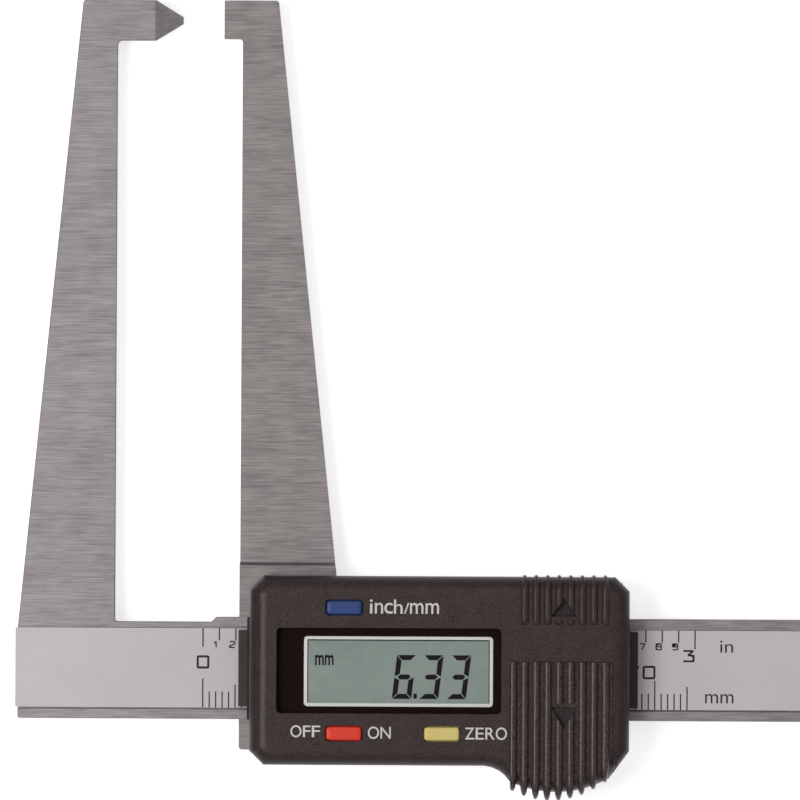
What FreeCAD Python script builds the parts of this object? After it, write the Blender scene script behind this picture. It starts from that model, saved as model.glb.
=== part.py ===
import FreeCAD, Part
import math
import os

# A digital brake disc caliper: a steel beam with one long fixed jaw, and a slider with the
# long moving jaw, which carries the display, its buttons and the battery under a sliding door.
# Millimetres. X runs along the beam from the zero line of the scale, Y towards the jaw tips,
# Z from the back of the beam towards the display. The slider stands at a reading of 6.33 mm.

# Fits
running_clearance = 0.05    # between the slider and the beam
seat_clearance = 0.05       # round pieces that drop into a pocket
screw_clearance = 0.02      # round a screw in its thread
sensor_gap = 0.10           # air between the sensing board and the scale

# Beam with the fixed jaw
beam_height = 15.8
beam_thick = 3.5
beam_left_x = -28.7
relief_depth = 0.75         # the upper edge is lower between the jaw and the zero line
relief_end_x = 1.3
jaw_reach = 103.4           # from the middle of the beam to the end of both jaws
fixed_foot_width = 15.05
fixed_top_outer_x = -19.0
fixed_hook_height = 6.3
fixed_hook_length = 5.9
fixed_corner_radius = 0.7
tip_length = 4.25
tip_end_height = 1.1
tip_end_thick = 0.9
jaw_end_radius = 0.5

# Scale in the groove of the beam
label_height = 12.3
label_thick = 0.25
label_overhang = 0.35
grating_thick = 0.8
grating_inset = 0.15

# Slider frame with the moving jaw
reading = 6.33              # opening between the jaw faces as modelled
back_plate_thick = 1.8
lip_thick = 1.0
lip_reach = 1.45            # how far each lip covers the beam
lower_wall = 4.65
upper_wall = 5.65
anvil_height = 6.0
anvil_length = 2.87
moving_foot_width = 15.1
moving_top_width = 5.54
moving_corner_radius = 0.5
shoulder_rise = 2.8         # the thick frame reaches this far above its upper wall
shoulder_ramp = 0.5
frame_corner_radius = 0.5
travel_out = 70.0

# Gib between the beam and the upper wall of the frame
gib_thick = 0.8
gib_height = 3.0
gib_end_wall = 3.0
gib_screw_d = 2.0
gib_screw_length = 3.6
gib_screw_inset = 18.0

# Front cover
cover_wall = 1.3
cover_seat = 0.2            # the lower wall stands on the frame by this much
cover_from_frame_left = 1.65
cover_overhang_low = 2.25
cover_overhang_high = 0.8
cover_corner = 2.2          # the cut corners of its outline
cover_edge_radius = 2.3
left_bevel_width = 1.8
left_bevel_drop = 1.5
beam_pad_length = 0.4
beam_pad_height = 2.0

# Display window
window_from_cover_left = 4.15
window_width = 34.8
window_height = 13.26
window_corner_radius = 0.7
window_recess = 0.9
window_ledge = 1.0
lens_thick = 1.2
lcd_margin_left = 4.24
lcd_margin_right = 1.26
lcd_margin_high = 1.29
lcd_margin_low = 0.9
lcd_rim = 0.65
lcd_thick = 2.1
zebra_height = 2.6
zebra_width = 1.5

# Boards
board_thick = 1.0
board_margin = 1.6          # from the frame of the display to the edge of the board
sensor_inset = 0.25
sensor_overhang = 1.35
chip_size = 6.0
chip_height = 0.9

# Buttons
button_length = 5.4
button_height = 2.05
button_gap = 0.23
button_proud = 0.35
button_travel = 0.4
button_corner_radius = 0.45
button_flange = 0.75
button_flange_thick = 0.85
button_stem = 1.6
button_offset_high = 3.13   # from the window to the row above it
button_offset_low = 3.05
button_left_x = 10.45       # from the left edge of the window to the first column
button_right_x = 9.2         # from the right edge of the window to the second column
dome_d = 4.0
dome_height = 0.6

# Battery, its contacts and its door
battery_d = 11.6
battery_height = 5.4
battery_cap_d = 9.6
battery_cap_height = 0.4
battery_gap = 0.2
contact_thick = 0.2
contact_width = 2.4
contact_height = 3.6
door_from_window = 1.4
door_width = 15.8
door_top_y = 1.24
door_skin = 1.15
door_gap = 0.1
door_rail = 0.6
door_rail_height = 0.9
door_side = 0.8
door_end_height = 5.0
door_end_y = -15.4
cover_right_margin = 2.6

# Thumb grip
thumb_flare_length = 4.0    # the lower edge flares out to the thumb rest
thumb_flare_drop = 2.45
thumb_drop = 4.0            # how far the thumb rest stands below the straight lower edge
thumb_right_drop = 1.85
thumb_right_cut = 2.35      # the cut corner at the right of the thumb rest
rib_width = 0.75
rib_pitch = 1.783
rib_proud = 0.5
rib_tip_drop = 5.35         # from the straight lower edge to the end of the longest rib
rib_tip_high = 0.3
rib_round = 2.4
rib_tip_shift = 1.6         # the longest rib stands left of the middle of the door
rib_tip_rise = 2.6
door_rib_count = 9
rib_field_low_y = 7.0
arrow_width = 4.1
arrow_height = 3.5
arrow_depth = 0.35
arrow_top_y = -5.64
arrow_upper_y = 8.3

# Fasteners
cover_screw_d = 1.9
cover_screw_head_d = 3.4
cover_screw_head = 1.1
cover_screw_sink = 1.3
cover_screw_length = 9.5
cover_boss = 3.2            # square bosses that take the cover screws
stop_thick = 1.5
stop_length = 8.0
stop_height = 10.0
stop_screw_d = 1.6
stop_screw_head_d = 3.0
stop_screw_head = 0.9
stop_screw_depth = 2.2
stop_screw_pitch = 5.0
stop_gap = 0.1
beam_tail = 3.0

# Places that follow from the sizes above
half_beam = beam_height / 2
relief_y = half_beam - relief_depth
fixed_inner_x = beam_left_x + fixed_foot_width
fixed_hook_y = jaw_reach - fixed_hook_height
tip_base_x = fixed_inner_x + fixed_hook_length
tip_end_x = tip_base_x + tip_length
anvil_x = tip_end_x + reading
moving_inner_x = anvil_x + anvil_length
anvil_low_y = jaw_reach - anvil_height

groove_depth = label_thick + grating_thick
frame_left_x = moving_inner_x - 0.1
back_z = -running_clearance - back_plate_thick
lip_back_z = beam_thick + running_clearance
front_z = lip_back_z + lip_thick
frame_low_y = -half_beam - running_clearance - lower_wall
frame_high_y = half_beam + running_clearance + upper_wall
shoulder_y = frame_high_y + shoulder_rise
lip_edge_y = half_beam - lip_reach + running_clearance

cover_left_x = frame_left_x + cover_from_frame_left
cover_low_y = frame_low_y - cover_overhang_low
cover_high_y = frame_high_y + cover_overhang_high
cover_middle_y = (cover_low_y + cover_high_y) / 2
window_left_x = cover_left_x + window_from_cover_left
window_right_x = window_left_x + window_width
window_low_y = cover_middle_y - window_height / 2
window_high_y = cover_middle_y + window_height / 2
lcd_left_x = window_left_x + lcd_margin_left
lcd_right_x = window_right_x - lcd_margin_right
lcd_low_y = window_low_y + lcd_margin_low
lcd_high_y = window_high_y - lcd_margin_high
door_left_x = window_right_x + door_from_window
door_right_x = door_left_x + door_width
door_middle_x = (door_left_x + door_right_x) / 2
cover_right_x = door_right_x + cover_right_margin
frame_right_x = cover_right_x - 1.0

board_top_z = front_z + board_thick
lcd_back_z = board_top_z + zebra_height
lcd_front_z = lcd_back_z + lcd_thick
lens_back_z = lcd_front_z + seat_clearance
lens_front_z = lens_back_z + lens_thick
battery_back_z = board_top_z + contact_thick
door_back_z = battery_back_z + battery_height + door_gap
cover_front_z = max(lens_front_z + window_recess, door_back_z + door_skin)
cavity_top_z = cover_front_z - cover_wall
battery_x = door_middle_x + 0.1
battery_y = door_end_y + 1.4 + battery_gap + battery_d / 2

board_left_x = lcd_left_x - board_margin
board_right_x = door_left_x - 0.15
button_row_high_y = window_high_y + button_offset_high
button_row_low_y = window_low_y - button_offset_low
button_x = window_left_x + button_left_x
button_places = {
    "unit_button": (button_x, button_row_high_y),
    "power_button": (button_x, button_row_low_y),
    "zero_button": (window_right_x - button_right_x, button_row_low_y),
}
boss_inset = cover_wall + 2.3
boss_low_y = (frame_low_y - half_beam - running_clearance) / 2
contact_y = boss_low_y + cover_boss / 2 + 0.3 + contact_width / 2
boss_high_y = (frame_high_y + half_beam + running_clearance + gib_thick) / 2
boss_places = (
    (cover_left_x + boss_inset, boss_high_y),
    (cover_left_x + boss_inset, boss_low_y),
    (door_left_x - cover_boss / 2 + 0.9, boss_low_y),
    (door_right_x - cover_boss / 2, boss_high_y),
)

stop_left_x = frame_right_x + travel_out + stop_gap
beam_right_x = stop_left_x + stop_length + beam_tail


def vec(x, y, z=0.0):
    return FreeCAD.Vector(x, y, z)


def block(x, y, z):
    """A box between the two values of each of its three ranges."""
    return Part.makeBox(x[1] - x[0], y[1] - y[0], z[1] - z[0], vec(x[0], y[0], z[0]))


def disc(x, y, z, diameter):
    """An upright cylinder between the two values of z."""
    return Part.makeCylinder(diameter / 2, z[1] - z[0], vec(x, y, z[0]))


def outline(corners):
    """A closed wire through corners (x, y, radius), each rounded by an arc tangent to its sides."""
    edges = []
    ends = []
    for number, (x, y, radius) in enumerate(corners):
        here = vec(x, y)
        before = (vec(*corners[number - 1][:2]) - here).normalize()
        after = (vec(*corners[(number + 1) % len(corners)][:2]) - here).normalize()
        if radius == 0:
            ends.append((here, None, here))
            continue
        half_angle = before.getAngle(after) / 2
        inward = (before + after).normalize()
        setback = radius / math.tan(half_angle)
        middle = here + inward * (radius / math.sin(half_angle) - radius)
        ends.append((here + before * setback, middle, here + after * setback))
    for number, (start, middle, end) in enumerate(ends):
        if middle is not None:
            edges.append(Part.Arc(start, middle, end).toShape())
        edges.append(Part.LineSegment(end, ends[(number + 1) % len(ends)][0]).toShape())
    return Part.Wire(edges)


def prism(corners, z):
    """An upright solid over an outline, between the two values of z."""
    wire = outline(corners)
    wire.translate(vec(0, 0, z[0]))
    return Part.Face(wire).extrude(vec(0, 0, z[1] - z[0]))


def rectangle(x, y, radius=0.0):
    return [(x[0], y[0], radius), (x[1], y[0], radius), (x[1], y[1], radius), (x[0], y[1], radius)]


def along_x(points, x):
    """A solid of constant section along X, from points (y, z)."""
    loop = [vec(x[0], y, z) for y, z in points]
    face = Part.Face(Part.makePolygon(loop + loop[:1]))
    return face.extrude(vec(x[1] - x[0], 0, 0))


def along_y(points, y):
    """A solid of constant section along Y, from points (x, z)."""
    loop = [vec(x, y[0], z) for x, z in points]
    face = Part.Face(Part.makePolygon(loop + loop[:1]))
    return face.extrude(vec(0, y[1] - y[0], 0))


def joined(solids):
    solids = list(solids)
    return solids[0].multiFuse(solids[1:]).removeSplitter() if len(solids) > 1 else solids[0]


def drilled(solid, tools):
    return solid.cut(Part.makeCompound(list(tools)))


def screw(x, y, z, head_d, shank_d):
    """A screw along +Z: z gives the outside of its head, the seat of its head and its end."""
    return disc(x, y, z[:2], head_d).fuse(disc(x, y, z[1:], shank_d))


def grown(size, clearance):
    return size + 2 * clearance


# Beam and what is fixed to it

def make_beam():
    tail = [
        (beam_left_x, -half_beam, 0.3),
        (beam_right_x, -half_beam, 0),
        (beam_right_x, half_beam, 0),
        (relief_end_x + relief_depth, half_beam, 0),
        (relief_end_x, relief_y, 0),
    ]
    jaw = [
        (fixed_inner_x, relief_y, 0.4),
        (fixed_inner_x, fixed_hook_y, fixed_corner_radius),
        (tip_base_x, fixed_hook_y, 0),
        (tip_base_x, jaw_reach, 0),
        (fixed_top_outer_x, jaw_reach, jaw_end_radius),
        (beam_left_x, label_height / 2, 0),
    ]
    bar = prism(tail + jaw, (0, beam_thick))
    beam = bar.fuse(make_tip())
    groove = block(
        (beam_left_x - 1, beam_right_x + 1),
        (-label_height / 2, label_height / 2),
        (beam_thick - groove_depth, beam_thick + 1),
    )
    holes = [disc(x, y, (-1, stop_screw_depth), grown(stop_screw_d, screw_clearance))
             for x, y in stop_screw_places()]
    return drilled(beam, [groove] + holes)


def make_tip():
    """The measuring point: a four-sided taper from the hook to a small flat end."""
    middle_y = jaw_reach - fixed_hook_height / 2
    base = rectangle_across(tip_base_x, middle_y, fixed_hook_height, beam_thick)
    end = rectangle_across(tip_end_x, middle_y, tip_end_height, tip_end_thick)
    return Part.makeLoft([base, end], True, True)


def rectangle_across(x, middle_y, height, thick):
    """A rectangle that stands square to X, centred on the thickness of the beam."""
    y = (middle_y - height / 2, middle_y + height / 2)
    z = ((beam_thick - thick) / 2, (beam_thick + thick) / 2)
    points = [vec(x, y[0], z[0]), vec(x, y[1], z[0]), vec(x, y[1], z[1]), vec(x, y[0], z[1])]
    return Part.makePolygon(points + points[:1])


def make_grating_strip():
    half = label_height / 2 - grating_inset
    z = (beam_thick - groove_depth, beam_thick - label_thick)
    return block((beam_left_x, beam_right_x), (-half, half), z)


def make_scale_label():
    half = label_height / 2
    x = (beam_left_x - label_overhang, beam_right_x)
    return block(x, (-half, half), (beam_thick - label_thick, beam_thick))


def stop_screw_places():
    middle_x = stop_left_x + stop_length / 2
    return [(middle_x, side * stop_screw_pitch / 2) for side in (-1, 1)]


def make_end_stop():
    """A small plate behind the tail of the beam, which the slider meets at the end of its way."""
    y = (-stop_height / 2, stop_height / 2)
    plate = block((stop_left_x, stop_left_x + stop_length), y, (-stop_thick, 0))
    seat_z = stop_screw_head - stop_thick
    cuts = []
    for x, y in stop_screw_places():
        cuts.append(disc(x, y, (-stop_thick - 1, seat_z), grown(stop_screw_head_d, screw_clearance)))
        cuts.append(disc(x, y, (seat_z, 1), grown(stop_screw_d, screw_clearance)))
    return drilled(plate, cuts)


def make_end_stop_screws():
    z = (-stop_thick, stop_screw_head - stop_thick, stop_screw_depth - 0.2)
    return Part.makeCompound([
        screw(x, y, z, stop_screw_head_d, stop_screw_d) for x, y in stop_screw_places()
    ])


# Slider frame

def make_slider_frame():
    top_outer_x = moving_inner_x + moving_top_width
    foot_outer_x = frame_left_x + moving_foot_width
    arm = prism([
        (anvil_x, jaw_reach, 0.15),
        (anvil_x, anvil_low_y, 0.15),
        (moving_inner_x, anvil_low_y, moving_corner_radius),
        (moving_inner_x, frame_high_y, 0),
        (foot_outer_x, frame_high_y, 0),
        (top_outer_x, jaw_reach, jaw_end_radius),
    ], (0, beam_thick))
    lean = (foot_outer_x - top_outer_x) / (jaw_reach - frame_high_y)
    body = prism([
        (frame_left_x, frame_low_y, frame_corner_radius),
        (frame_right_x, frame_low_y, frame_corner_radius),
        (frame_right_x, frame_high_y, frame_corner_radius),
        (foot_outer_x, frame_high_y, 0),
        (foot_outer_x - lean * shoulder_rise, shoulder_y, 0),
        (frame_left_x, shoulder_y, 0),
    ], (back_z, front_z))
    x = (frame_left_x - 1, frame_right_x + 1)
    ramp = along_x([
        (shoulder_y + 1, beam_thick),
        (shoulder_y, beam_thick),
        (shoulder_y - shoulder_ramp, front_z),
        (shoulder_y - shoulder_ramp, front_z + 1),
        (shoulder_y + 1, front_z + 1),
    ], x)
    half = half_beam + running_clearance
    channel = block(x, (-half, half), (-running_clearance, lip_back_z))
    slot = block(x, (-lip_edge_y, lip_edge_y), (0, front_z + 1))
    gib_pocket = block(
        (frame_left_x + gib_end_wall, frame_right_x - gib_end_wall),
        (0, half + gib_thick + seat_clearance),
        ((beam_thick - gib_height) / 2 - seat_clearance, (beam_thick + gib_height) / 2 + seat_clearance),
    )
    frame = body.cut(ramp).fuse(arm)
    return drilled(frame, [channel, slot, gib_pocket] + gib_screw_holes() + cover_screw_holes())


def gib_screw_xs():
    return (frame_left_x + gib_screw_inset, frame_right_x - gib_screw_inset)


def gib_screw_base_y():
    return half_beam + running_clearance + gib_thick + seat_clearance


def lying_cylinder(x, y, diameter):
    """A cylinder along +Y at half the thickness of the beam, between the two values of y."""
    start = vec(x, y[0], beam_thick / 2)
    return Part.makeCylinder(diameter / 2, y[1] - y[0], start, vec(0, 1, 0))


def gib_screw_holes():
    hole_d = grown(gib_screw_d, screw_clearance)
    return [lying_cylinder(x, (half_beam, frame_high_y + 1), hole_d) for x in gib_screw_xs()]


def make_gib_screws():
    """Two grub screws that press the gib towards the beam, each with a screwdriver slot."""
    screws = []
    for x in gib_screw_xs():
        y = (gib_screw_base_y(), gib_screw_base_y() + gib_screw_length)
        slot = block((x - gib_screw_d, x + gib_screw_d), (y[1] - 0.6, y[1] + 1),
                     (beam_thick / 2 - 0.2, beam_thick / 2 + 0.2))
        screws.append(lying_cylinder(x, y, gib_screw_d).cut(slot))
    return Part.makeCompound(screws)


def make_gib_strip():
    x = (frame_left_x + gib_end_wall + seat_clearance, frame_right_x - gib_end_wall - seat_clearance)
    y = (half_beam + running_clearance, half_beam + running_clearance + gib_thick)
    return block(x, y, ((beam_thick - gib_height) / 2, (beam_thick + gib_height) / 2))


def cover_screw_holes():
    holes = []
    for x, y in boss_places:
        holes.append(disc(x, y, (back_z - 1, front_z + 1), grown(cover_screw_d, 0.1)))
        head_z = (back_z - 1, back_z + cover_screw_sink)
        holes.append(disc(x, y, head_z, grown(cover_screw_head_d, 0.1)))
    return holes


def make_cover_screws():
    """Four screws from the back of the frame into the bosses of the cover."""
    seat_z = back_z + cover_screw_sink
    z = (seat_z - cover_screw_head, seat_z, seat_z + cover_screw_length)
    return Part.makeCompound([
        screw(x, y, z, cover_screw_head_d, cover_screw_d) for x, y in boss_places
    ])


# Front cover

def path(start, moves):
    """A closed wire from a start point: a point adds a line, a pair of points an arc through the first."""
    edges = []
    here = vec(*start)
    for move in moves:
        if isinstance(move[0], tuple):
            middle, end = vec(*move[0]), vec(*move[1])
            edges.append(Part.Arc(here, middle, end).toShape())
        else:
            end = vec(*move)
            edges.append(Part.LineSegment(here, end).toShape())
        here = end
    return Part.Wire(edges)


def make_cover_body():
    """The outer form of the cover, solid: outline, rounded front edge and the bevel at its left end."""
    corner_x = cover_left_x + cover_corner
    flare_y = cover_low_y - thumb_flare_drop
    flare_middle = (door_left_x - 0.38 * thumb_flare_length, cover_low_y - 0.35 * thumb_flare_drop)
    rest_right = (door_right_x - 0.5, cover_low_y - thumb_right_drop)
    wire = path((corner_x, cover_low_y), [
        (door_left_x - thumb_flare_length, cover_low_y),
        (flare_middle, (door_left_x, flare_y)),
        ((door_middle_x - 0.9, cover_low_y - thumb_drop), rest_right),
        (cover_right_x, cover_low_y + thumb_right_cut),
        (cover_right_x, cover_high_y - cover_corner),
        (cover_right_x - cover_corner, cover_high_y),
        (corner_x, cover_high_y),
        (cover_left_x, cover_high_y - cover_corner),
        (cover_left_x, cover_low_y + cover_corner),
        (corner_x, cover_low_y),
    ])
    wire.translate(vec(0, 0, front_z))
    body = Part.Face(wire).extrude(vec(0, 0, cover_front_z - front_z))
    front_edges = [edge for edge in body.Edges if edge.BoundBox.ZMin > cover_front_z - 0.001]
    body = body.makeFillet(cover_edge_radius, front_edges)
    bevel = along_y([
        (cover_left_x - 1, cover_front_z - left_bevel_drop),
        (cover_left_x, cover_front_z - left_bevel_drop),
        (cover_left_x + left_bevel_width, cover_front_z),
        (cover_left_x + left_bevel_width, cover_front_z + 1),
        (cover_left_x - 1, cover_front_z + 1),
    ], (cover_low_y - 1, cover_high_y + 1))
    return body.cut(bevel)


def make_cover_cavity():
    """The hollow for the boards: the outline less the wall, open at the back."""
    x = (cover_left_x + cover_wall, cover_right_x - cover_wall)
    y = (frame_low_y + cover_seat, cover_high_y - cover_wall)
    return prism([
        (x[0], y[0], cover_corner),
        (x[1], y[0], cover_corner),
        (x[1], y[1], cover_corner),
        (x[0], y[1], cover_corner),
    ], (front_z, cavity_top_z))


def rib_bar(x, y_start, y_tip, z_skin, z_tip, step_y):
    """A rib along Y with a rounded end at y_tip, where it turns down to z_tip."""
    toward = 1 if y_tip > y_start else -1
    top = cover_front_z + rib_proud
    bend = rib_round * (1 - math.sqrt(0.5))
    edges = []
    points = [
        (y_tip - toward * rib_round, top),
        (y_start, top),
        (y_start, z_skin),
        (step_y, z_skin),
        (step_y, z_tip),
        (y_tip, z_tip),
        (y_tip, top - rib_round),
    ]
    left = x - rib_width / 2
    for first, last in zip(points, points[1:]):
        edges.append(Part.LineSegment(vec(left, *first), vec(left, *last)).toShape())
    middle = vec(left, y_tip - toward * bend, top - bend)
    edges.append(Part.Arc(vec(left, *points[-1]), middle, vec(left, *points[0])).toShape())
    return Part.Face(Part.Wire(edges)).extrude(vec(rib_width, 0, 0))


def rib_tip_at(x):
    """The end of a door rib: a parabola through the longest rib, shallower at both sides."""
    away = (x - (door_middle_x - rib_tip_shift)) / (door_width / 2)
    return cover_low_y - rib_tip_drop + rib_tip_rise * away ** 2


def rib_xs(first, count):
    return [first + rib_pitch * number for number in range(count)]


def arrow(base_y, tip_y):
    """A triangle sunk into the grip, with a short break in the ribs behind its base."""
    middle_x = door_middle_x + 0.35
    half = arrow_width / 2
    toward = 1 if tip_y > base_y else -1
    z = (cover_front_z - arrow_depth, cover_front_z + rib_proud + 1)
    corners = [(middle_x - half, base_y, 0), (middle_x + half, base_y, 0), (middle_x, tip_y, 0)]
    gap_y = sorted((base_y, base_y - toward * 0.6))
    gap = block((middle_x - half, middle_x + half), gap_y, (cover_front_z, z[1]))
    return prism(corners, z).fuse(gap)


def door_space(clearance):
    """What the battery door fills, or with a clearance the space that the cover leaves for it."""
    c = clearance
    far = cover_low_y - rib_tip_drop - 2
    front = cover_front_z + 2
    x = (door_left_x - c, door_right_x + c)
    skin = block(x, (far, door_top_y + c), (door_back_z - c, front))
    end = block(x, (far, door_end_y + c), (door_back_z - door_end_height - c, front))
    parts = [skin, end]
    rail_z = (door_back_z - door_rail_height - c, door_back_z + c)
    rail_y = (far if c else door_end_y + 1.0, door_top_y - 0.8 + c)
    for outer, inner in (
        (door_left_x - door_rail, door_left_x + door_side),
        (door_right_x + door_rail, door_right_x - door_side),
    ):
        low, high = sorted((outer, inner))
        parts.append(block((low - c, high + c), rail_y, rail_z))
    return joined(parts)


def make_battery_door():
    """The sliding door: skin, end cap over the thumb rest, side rails, ribs and the arrow."""
    far = cover_low_y - rib_tip_drop - 3
    rail_x = (door_left_x - door_rail, door_right_x + door_rail)
    reach = block(rail_x, (far, door_top_y), (front_z, cover_front_z))
    plate = door_space(0).common(make_cover_body().common(reach))
    ribs = []
    for x in rib_xs(door_left_x + rib_width / 2, door_rib_count):
        ribs.append(rib_bar(x, door_top_y, rib_tip_at(x), door_back_z + 0.3,
                            door_back_z - door_end_height, door_end_y))
    door = joined([plate] + ribs)
    return door.cut(arrow(arrow_top_y, arrow_top_y - arrow_height))


def make_battery_well():
    """A round pocket for the cell, with slots for its two contacts."""
    z = (board_top_z, door_back_z)
    well = disc(battery_x, battery_y, z, battery_d + 2 * battery_gap)
    return joined([well, contact_slot_negative(), contact_slot_positive()])


def contact_slot_negative():
    half = contact_width / 2 + 0.1
    y = (contact_y - half, contact_y + half)
    return block((door_left_x - 0.6, battery_x), y, (board_top_z, board_top_z + 0.8))


def contact_slot_positive():
    blade_y = battery_y + battery_d / 2 + 0.05
    y = (blade_y - 0.3, blade_y + contact_thick + 0.1)
    return block((door_left_x - 0.6, battery_x + 2.1), y, (board_top_z, board_top_z + contact_height + 0.1))


def make_front_cover():
    body = make_cover_body()
    shell = body.cut(make_cover_cavity())
    ledge = block(
        (window_left_x - window_ledge, window_right_x + window_ledge),
        (window_low_y - window_ledge, window_high_y + window_ledge),
        (lens_back_z - window_ledge, cavity_top_z),
    )
    well_block = block(
        (door_left_x + 0.7, cover_right_x - cover_wall / 2),
        (cover_low_y - thumb_drop - 1, door_top_y + 0.8),
        (front_z, cover_front_z),
    )
    boss = cover_boss / 2
    bosses = [block((x - boss, x + boss), (y - boss, y + boss), (front_z, cavity_top_z))
              for x, y in boss_places]
    inside = joined([ledge, well_block] + bosses).common(body)
    pad = block(
        (cover_left_x - beam_pad_length, cover_left_x + 1),
        (-half_beam, half_beam),
        (front_z, front_z + beam_pad_height),
    )
    upper_ribs = []
    for x in rib_xs(door_left_x + rib_width / 2 + rib_pitch, door_rib_count - 1):
        upper_ribs.append(rib_bar(x, rib_field_low_y, cover_high_y + rib_tip_high,
                                  cover_front_z - 0.3, front_z, cover_high_y - 1.0))
    cover = joined([shell, inside, pad] + upper_ribs)
    pane = prism(rectangle((window_left_x, window_right_x), (window_low_y, window_high_y),
                           window_corner_radius), (lens_back_z, cover_front_z + 1))
    view = block(
        (lcd_left_x - seat_clearance, lcd_right_x + seat_clearance),
        (lcd_low_y - seat_clearance, lcd_high_y + seat_clearance),
        (front_z, cover_front_z),
    )
    cuts = [pane, view, door_space(seat_clearance), make_battery_well()]
    for x, y in button_places.values():
        half_x = button_length / 2 + button_gap
        half_y = button_height / 2 + button_gap
        cuts.append(prism(rectangle((x - half_x, x + half_x), (y - half_y, y + half_y),
                                    button_corner_radius + button_gap), (front_z, cover_front_z + 1)))
    screw_hole_d = grown(cover_screw_d, screw_clearance)
    for x, y in boss_places:
        top_z = back_z + cover_screw_sink + cover_screw_length + 0.3
        cuts.append(disc(x, y, (front_z - 1, top_z), screw_hole_d))
    cuts.append(arrow(arrow_upper_y, arrow_upper_y + arrow_height * 0.8))
    return drilled(cover, cuts)


# Display, boards and buttons

def make_window_lens():
    c = seat_clearance
    corners = rectangle((window_left_x + c, window_right_x - c), (window_low_y + c, window_high_y - c),
                        window_corner_radius - c)
    return prism(corners, (lens_back_z, lens_front_z))


def make_lcd_frame():
    outer = block((lcd_left_x, lcd_right_x), (lcd_low_y, lcd_high_y), (board_top_z, lcd_front_z))
    inner = block((lcd_left_x + lcd_rim, lcd_right_x - lcd_rim),
                  (lcd_low_y + lcd_rim, lcd_high_y - lcd_rim),
                  (board_top_z - 1, lcd_front_z + 1))
    return outer.cut(inner)


def make_lcd_glass():
    c = lcd_rim + seat_clearance
    return block((lcd_left_x + c, lcd_right_x - c), (lcd_low_y + c, lcd_high_y - c),
                 (lcd_back_z, lcd_front_z))


def make_zebra_strips():
    """Two conducting rubber strips between the board and the edges of the display."""
    c = lcd_rim + 0.1
    x = (lcd_left_x + c, lcd_right_x - c)
    z = (board_top_z, lcd_back_z)
    low = block(x, (lcd_low_y + c, lcd_low_y + c + zebra_width), z)
    high = block(x, (lcd_high_y - c - zebra_width, lcd_high_y - c), z)
    return Part.makeCompound([low, high])


def make_controller_chip():
    middle_x = (lcd_left_x + lcd_right_x) / 2
    middle_y = (lcd_low_y + lcd_high_y) / 2
    half = chip_size / 2
    return block((middle_x - half, middle_x + half), (middle_y - half, middle_y + half),
                 (board_top_z, board_top_z + chip_height))


def make_main_board():
    edge = dome_d / 2 + 0.3
    y = (button_row_low_y - edge, button_row_high_y + edge)
    board = block((board_left_x, board_right_x), y, (front_z, board_top_z))
    x_boss, y_boss = boss_places[2]
    notch = block((x_boss - cover_boss / 2 - 0.2, board_right_x + 1),
                  (y[0] - 1, y_boss + cover_boss / 2 + 0.1), (front_z - 1, board_top_z + 1))
    return board.cut(notch)


def make_sensor_board():
    half = label_height / 2 - sensor_inset
    return block((frame_left_x - 0.1, cover_right_x + sensor_overhang), (-half, half),
                 (beam_thick + sensor_gap, front_z))


def make_button(x, y):
    """A key that stands through the cover, with a flange behind it and a stem over its dome."""
    flange_top_z = cavity_top_z - 0.05
    flange_z = (flange_top_z - button_flange_thick, flange_top_z)
    half_x, half_y = button_length / 2, button_height / 2
    key = prism(rectangle((x - half_x, x + half_x), (y - half_y, y + half_y), button_corner_radius),
                (flange_z[0], cover_front_z + button_proud))
    flange = block((x - half_x - button_flange, x + half_x + button_flange),
                   (y - half_y - button_flange, y + half_y + button_flange), flange_z)
    stem_z = (board_top_z + dome_height + button_travel + 0.05, flange_z[0])
    stem = block((x - button_stem / 2, x + button_stem / 2), (y - button_stem / 2, y + button_stem / 2),
                 stem_z)
    return joined([key, flange, stem])


def make_button_domes():
    """A snap dome on the board under each button: a square sheet with its corners cut off."""
    base_z, top_z = board_top_z, board_top_z + dome_height
    domes = []
    for x, y in button_places.values():
        domes.append(Part.makeLoft([octagon(x, y, base_z, dome_d), octagon(x, y, top_z, dome_d / 2)],
                                   True, True))
    return Part.makeCompound(domes)


def octagon(x, y, z, width):
    """Eight equal sides round a point, with the given width across them."""
    reach = width / 2 / math.cos(math.pi / 8)
    angles = [math.pi / 8 + number * math.pi / 4 for number in range(8)]
    points = [vec(x + reach * math.cos(angle), y + reach * math.sin(angle), z) for angle in angles]
    return Part.makePolygon(points + points[:1])


# Battery and its contacts

def make_battery():
    """A button cell, lying with its smaller cap on the back contact."""
    radius = battery_d / 2
    profile = [
        (0, 0),
        (battery_cap_d / 2, 0),
        (battery_cap_d / 2, battery_cap_height),
        (radius, battery_cap_height),
        (radius, battery_height - 0.3),
        (radius - 0.3, battery_height),
        (0, battery_height),
    ]
    loop = [vec(battery_x + r, battery_y, battery_back_z + z) for r, z in profile]
    face = Part.Face(Part.makePolygon(loop + loop[:1]))
    return face.revolve(vec(battery_x, battery_y, 0), vec(0, 0, 1), 360)


def make_contact_negative():
    y = (contact_y - contact_width / 2, contact_y + contact_width / 2)
    return block((board_right_x - 1.8, battery_x + 1.5), y, (board_top_z, battery_back_z))


def make_contact_positive():
    """A bent strip: a foot on the board and a blade beside the rim of the cell."""
    blade_y = battery_y + battery_d / 2 + 0.05
    foot = block((board_right_x - 1.8, board_right_x), (blade_y, blade_y + 1.5),
                 (board_top_z, board_top_z + contact_thick))
    blade = block((board_right_x - 1.8, battery_x + 2), (blade_y, blade_y + contact_thick),
                  (board_top_z, board_top_z + contact_height))
    return foot.fuse(blade)


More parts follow.
